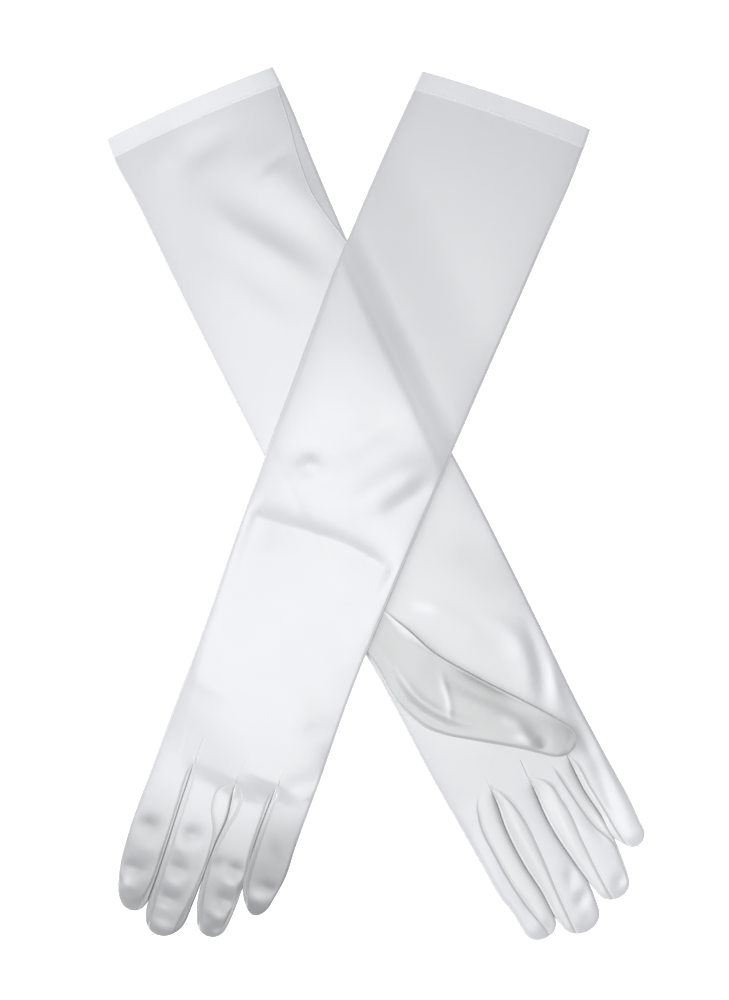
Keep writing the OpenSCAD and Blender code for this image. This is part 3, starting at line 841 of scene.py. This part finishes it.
def make_finger(side, name):
    """The pieces of one finger: two faces and one or two strips."""
    grid, (a, b, c) = finger_loop(side, name)
    normals = surface_normals(grid, wrap=True)[:-1]
    grid = grid[:-1]
    above, below = ("palm", "back") if side == "right" else ("back", "palm")
    last = grid.shape[1] - 1
    start = [last] if name == "index" else []
    stop = [c + 1] if name == "little" else []
    sections = {above: start + list(range(a, b + 1)) + stop, below: list(range(c + 1, last + 1))}
    one_strip = name in ("index", "little")
    strips = ("fourchette",) if one_strip else ("fourchette_near", "fourchette_far")
    if name != "index":
        sections[strips[0]] = [last] + list(range(0, a + 1))
    if name != "little":
        sections[strips[-1]] = list(range(b, c + 2))
    for part, columns in sections.items():
        node = f"{side}_{name}_{part}"
        piece = shell(f"{node}_satin", side, grid[:, columns], normals[:, columns])
        dress(piece, "fourchette_satin" if "fourchette" in part else "satin", [node])
        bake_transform(piece)
    print(side, name, "finger:", {k: len(v) for k, v in sections.items()})


# %% [markdown]
# ## Hand and sleeve
# One flat tube runs from the fork of the fingers to the cuff. Its cross-section is a loop: over the top from
# the index-finger edge to the little-finger edge, and back underneath. The palm and the back are its two
# halves, cut apart at the edges. Columns crowd towards the edges, where the cloth rolls over.
# %% The tube
ROW_STEP = 2.0


def cuff_y(side, share):
    """The cuff's line, straight between its two ends and bowed out a little."""
    a, b = CUFF_ENDS[side]
    return a + (b - a) * share + 1.5 * (1 - (2 * share - 1) ** 2)


def under_height(side, flat):
    """Height of a glove's lower side: the table's or the lift's, and rounded up a little at the edges."""
    low = left_lift(flat) if side == "left" else 0.0
    return low + 0.15 + 0.2 * (1 - roll(inside_by(side, flat), 3))


def root_shares(side):
    """Where the fingers' columns meet the hand, as shares of its width: over the top, and back underneath."""
    y = np.array([[HAND_END[side]]])
    near, far = edges(side, y)
    found = [finger_columns(side, name, y) for name in ("index", "middle", "ring", "little")]
    top = np.concatenate([found[0][0][0]] + [f[0][0][1:] for f in found[1:]])
    under = np.concatenate([found[3][2][0]] + [f[2][0][1:] for f in found[2::-1]])
    return [np.clip((x - near[0]) / (far[0] - near[0]), 0, 1) for x in (top, under)]


def tube_grid(side, from_cuff=None, rows=None):
    """The loop carried to the cuff, from the hand's end or from a distance, with a spare row at each end."""
    rows = rows or int((CUFF_ENDS[side][0] - HAND_END[side]) / ROW_STEP)
    v = np.linspace(-1 / rows, 1 + 1 / rows, rows + 3)[:, None]
    halves = []
    for share, height in zip(root_shares(side), (TOPS[side], lambda flat: under_height(side, flat))):
        cuff = cuff_y(side, share)[None]
        start = HAND_END[side] if from_cuff is None else cuff - from_cuff
        y = start + (cuff - start) * v
        near, far = edges(side, y)
        flat = np.stack([near + (far - near) * share, y], -1)
        halves.append(np.concatenate([flat, height(flat)[..., None]], -1))
    return np.concatenate(halves, 1), halves[0].shape[1]


def make_tube(side):
    """Palm and back, as the halves of the tube."""
    grid, half = tube_grid(side)
    normals = surface_normals(grid, wrap=True)[1:-1]
    grid = grid[1:-1]
    count = grid.shape[1]
    names = ("palm", "back") if side == "right" else ("back", "palm")
    for part, columns in zip(names, (np.arange(half), np.arange(half - 1, count + 1) % count)):
        node = f"{side}_{part}"
        piece = shell(f"{node}_satin", side, grid[:, columns], normals[:, columns])
        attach(dress(piece, "satin", [node]), f"{side}_glove")
        print(piece.name, len(piece.data.polygons), "faces")


for side in ("right", "left"):
    make_tube(side)

# %% Make the fingers
for side in ("right", "left"):
    for name in ("index", "middle", "ring", "little"):
        make_finger(side, name)

# %% [markdown]
# ## Thumbs
# The thumb is a loose tube sewn into the palm at its root. On the right glove it lies folded over the palm;
# on the left one it lies folded under, out of sight, and lifts the palm a little. Its two faces run from the
# tip to the hinge line and bend there, and a hood carries them on to the seam.
# %% Thumb pieces
THUMB_ROWS = 90
THUMB_END = 128.0      # y where the thumb's faces meet the hood
HOOD_END = 150.0
THUMB_BEND = (127, 112)
THUMB_FOLDS = [
    (0.5, 2.2, 0.0, [(12.4, -10), (12.4, 30), (12.4, 72), (14.4, 106), (19.2, 125), (22.2, 142), (24, 156)]),
    (0.8, 5.0, 0.0, [(14, 96), (17, 112), (20.6, 127), (22.8, 142), (24, 156)]),
    (-0.7, 6, 0.0, [(7, 14), (6, 50), (5, 80), (6, 112)]),
    (0.35, 2.5, 0, [(10, 98), (4, 94), (-2, 89), (-10, 81.6), (-21, 76), (-30, 73)]),
    (-0.5, 4, 0.0, [(0, 136), (-14, 116), (-22, 98), (-22, 72), (-14, 40)]),
    (0.5, 3, 0.0, [(6, 134), (-8, 116), (-16, 98), (-17, 76), (-10, 50)]),
]
THUMB_BUMPS = [
    (0.7, -7, 30, 8, 5, 60),
    (-0.6, -5, 19, 4, 4, 30),
]


def thumb_rise(flat):
    """Height of the right palm under the thumb, smooth as the cloth that bridges it."""
    inside = np.stack([np.clip(flat[..., 0], -38, 50), flat[..., 1]], -1)
    return CLOTH + body_height("right", inside)


def thumb_grid(side, y0, y1, rows, spare):
    """The thumb's loop between two distances from its tip, on the right palm or under the left one."""
    v = np.linspace(0, 1, rows)
    if y0 < 1:
        v = 0.6 * v + 0.4 * (1 - np.cos(np.pi / 2 * v))
    y = y0 + (y1 - y0) * v
    before = [2 * y[0] - y[1]] if spare[0] else []
    after = [2 * y[-1] - y[-2]] if spare[1] else []
    y = np.concatenate([before, y, after])[:, None]
    near, far = thumb_edges(np.maximum(y, 0.02))
    x = crowded(near, far, 44)
    q = np.stack([x, np.broadcast_to(y, x.shape)], -1)
    flat = from_thumb(q)
    inward = np.minimum(x - near, far - x)
    share = (x - near) / np.maximum(far - near, 1e-6)
    body = THUMB_LOFT * (0.2 + 0.5 * roll(inward, 2 - 1.2 * share) + 0.3 * roll(inward, 8))
    body = body * (0.55 + 0.45 * roll(y, 8)) * (0.95 - 0.5 * share)
    sunk = ease((y - 106) / 42)
    if side == "right":
        rest = thumb_rise(flat) + LAY
        relief = (folds(q, THUMB_FOLDS) + bumps(q, THUMB_BUMPS)) * ease(inward / 0.8)
        top = rest + 2 * CLOTH * (1 - 0.55 * share) + body + relief
        top = top * (1 - sunk) + (rest + 0.1) * sunk
        under = rest
    else:
        under = np.full(x.shape, 0.15)
        ceiling = np.maximum(left_lift(flat) - 0.4 * LAY, 0.7)
        top = np.minimum(under + 0.3 + HIDDEN_THUMB * roll(inward, 5), ceiling) * (1 - sunk) + ceiling * sunk
    upper = np.concatenate([flat, top[..., None]], -1)
    lower = np.concatenate([flat, under[..., None]], -1)[:, ::-1]
    return np.concatenate([upper, lower], 1), x.shape[1]


def make_thumb(side):
    """Outer and inner face from the tip to the hood, which rides on the hand."""
    grid, half = thumb_grid(side, 0.02, THUMB_END, THUMB_ROWS, (False, True))
    normals = surface_normals(grid, wrap=True)[:-1]
    grid = grid[:-1]
    above, below = ("outer", "inner") if side == "right" else ("inner", "outer")
    line = [np.append(from_thumb(np.array([0.0, y])), 0.0) for y in THUMB_BEND]
    line = [on_table(side, point[None])[0] * MM for point in line]
    for part, columns in ((above, np.arange(half)), (below, np.arange(half - 1, 2 * half + 1) % (2 * half))):
        node = f"{side}_thumb_{part}"
        piece = dress(shell(f"{node}_satin", side, grid[:, columns], normals[:, columns]), "satin", [node])
        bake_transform(piece)
    grid, half = thumb_grid(side, THUMB_END, HOOD_END, 20, (True, True))
    normals = surface_normals(grid, wrap=True)[1:-1]
    hood = shell(f"{side}_thumb_hood_satin", side, grid[1:-1], normals, ring=True)
    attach(dress(hood, "satin", [f"{side}_thumb_hood"]), f"{side}_glove")


for side in ("right", "left"):
    make_thumb(side)

# %% [markdown]
# ## Hems
# The cuff is turned in once and stitched, so its last centimetre is a flat band a little thicker than the
# sleeve. It is a ring that follows the sleeve's own surface, set out from it by a little.
# %% Hem bands
HEM_OUT = 0.4          # how far the band stands out from the sleeve


def make_hem(side):
    """The band round the cuff: the tube's own loop over the hem's depth, moved out along its normals."""
    grid, _ = tube_grid(side, from_cuff=HEM_DEPTH, rows=12)
    normals = surface_normals(grid, wrap=True)[1:-1]
    grid = grid[1:-1] + HEM_OUT * normals
    grid[..., 2] = np.maximum(grid[..., 2], 0.02)
    band = shell(f"{side}_cuff_hem_satin", side, grid, normals, thickness=2 * CLOTH, ring=True)
    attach(dress(band, "satin", [f"{side}_cuff_hem"]), f"{side}_glove")


for side in ("right", "left"):
    make_hem(side)

# %% [markdown]
# ## Threads and seams
# A seam is a thin cord of cloth and thread that stands a little proud: a round profile carried along a line
# on the surface. A row of stitches is many short ones, spindles that dip into the cloth at both ends.
# %% Cords and stitches
CORD_SIDES = 8         # corners of a cord's round profile


def cord(points, radii):
    """A round profile carried along points (rows, 3): rings that lie across the line, and their normals."""
    forward = np.gradient(points, axis=0)
    forward /= np.linalg.norm(forward, axis=1, keepdims=True)
    sideways = np.cross(forward, [0, 0, 1.0])
    sideways /= np.linalg.norm(sideways, axis=1, keepdims=True)
    upward = np.cross(sideways, forward)
    a = np.linspace(0, 2 * np.pi, CORD_SIDES, endpoint=False)
    across = np.cos(a)[None, :, None] * sideways[:, None] + np.sin(a)[None, :, None] * upward[:, None]
    return points[:, None] + across * radii[:, None, None], across


def make_cords(name, side, cords):
    """One mesh of several cords, each closed at its ends by quads across the last ring."""
    points, faces, smooth, caps, at = [], [], [], [], 0
    for grid, across in cords:
        rows = grid.shape[0]
        index = at + np.arange(rows * CORD_SIDES).reshape(rows, CORD_SIDES)
        index = np.concatenate([index, index[:, :1]], 1)
        points.append(grid.reshape(-1, 3))
        smooth.append(across.reshape(-1, 3))
        faces.append(quads_of(index, True))
        for ring, turn in ((index[0, :-1], 1), (index[-1, :-1], -1)):
            for i in range(1, CORD_SIDES // 2):
                caps.append([ring[i - 1], ring[i], ring[-1 - i], ring[-i % CORD_SIDES]][::turn])
        at += rows * CORD_SIDES
    body = np.concatenate(faces)
    faces = np.concatenate([body, np.array(caps)])
    return make_mesh(name, side, np.concatenate(points), faces, np.concatenate(smooth), len(body))


def on_top(side, flat, lift):
    """Points (x, y) of a glove set on its upper surface, lifted a little."""
    return np.concatenate([flat, (TOPS[side](flat) + lift)[:, None]], 1)


def resample(line, step):
    """The same line in even steps."""
    reach = np.concatenate([[0], np.cumsum(np.linalg.norm(np.diff(line, axis=0), axis=1))])
    s = np.linspace(0, reach[-1], max(int(reach[-1] / step), 3) + 1)
    return np.stack([np.interp(s, reach, line[:, k]) for k in range(line.shape[1])], 1)


def seam_cord(line, radius):
    """A cord along a line of points (rows, 3), tapered at its ends."""
    t = np.linspace(0, 1, len(line))
    return cord(line, radius * (0.15 + 0.85 * ease(np.minimum(t, 1 - t) * 30)))


def stitches(line, length, gap, radius):
    """Spindles along a line of points (rows, 3), each dipping into the cloth at its ends."""
    dense = resample(line, 0.2)
    reach = 0.2 * np.arange(len(dense))
    t = np.linspace(0, 1, 5)
    made = []
    for start in np.arange(0, reach[-1] - length, length + gap):
        s = start + length * t
        p = np.stack([np.interp(s, reach, dense[:, k]) for k in range(3)], 1)
        p[:, 2] -= 1.2 * radius * (2 * t - 1) ** 2
        made.append(cord(p, radius * (0.45 + 0.55 * np.sin(np.pi * t))))
    return made


# %% Side seams
SIDE_SEAMS = {
    "right": [(54, 556), (50.6, 530), (47, 511), (44.8, 490), (46, 475), (49.4, 458), (53.2, 436)],
    "left": [(52.2, 124), (49.2, 185), (49, 250), (51.5, 367), (54.2, 475), (55.2, 549)],
}
for side, points in SIDE_SEAMS.items():
    line = resample(smooth_path(points, 20), 1.5)
    seam = make_cords(f"{side}_side_seam_cord", side, [seam_cord(on_top(side, line, 0.0), 0.4)])
    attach(dress(seam, "satin", [f"{side}_side_seam"]), f"{side}_glove")

# %% Hem stitching
for side in ("right", "left"):
    share = np.linspace(0.03, 0.97, 200)
    y = cuff_y(side, share) - HEM_DEPTH + 1.3
    near, far = edges(side, y)
    line = on_top(side, np.stack([near + (far - near) * share, y], 1), 0.5)
    thread = make_cords(f"{side}_hem_thread", side, stitches(line, 2.4, 0.7, 0.22))
    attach(dress(thread, "thread", [f"{side}_hem_stitching"]), f"{side}_glove")

# %% Bar tacks
TACKS = {"right": [(-13.6, 104.5), (10.2, 98.5), (38, 103)], "left": [(-24, 106.5), (4.2, 105), (29.2, 113)]}
for side, spots in TACKS.items():
    made = []
    for x, y in spots:
        for k in range(5):
            bar = np.array([[x - 0.8, y + 0.8 * k], [x + 0.8, y + 0.8 * k]])
            made += stitches(on_top(side, resample(bar, 0.2), 0.1), 1.4, 0.5, 0.3)
    tacks = make_cords(f"{side}_bar_tack_thread", side, made)
    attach(dress(tacks, "thread", [f"{side}_bar_tacks"]), f"{side}_glove")

# %% Thumb seams
for side in ("right", "left"):
    t = np.linspace(0, np.pi, 60)
    near, far = thumb_edges(np.array([HOOD_END - 8.0]))
    middle, half = (near[0] + far[0]) / 2, (far[0] - near[0]) / 2 + 1.5
    q = np.stack([middle - half * np.cos(t), HOOD_END - 8 + 9.5 * np.sin(t)], 1)
    flat = from_thumb(q)
    z = TOPS["right"](flat) + 0.3 if side == "right" else left_lift(flat) - 0.4
    line = np.concatenate([flat, z[:, None]], 1)
    seam = make_cords(f"{side}_thumb_seam_cord", side, [seam_cord(line, 0.5)])
    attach(dress(seam, "thread", [f"{side}_thumb_seam"]), f"{side}_glove")
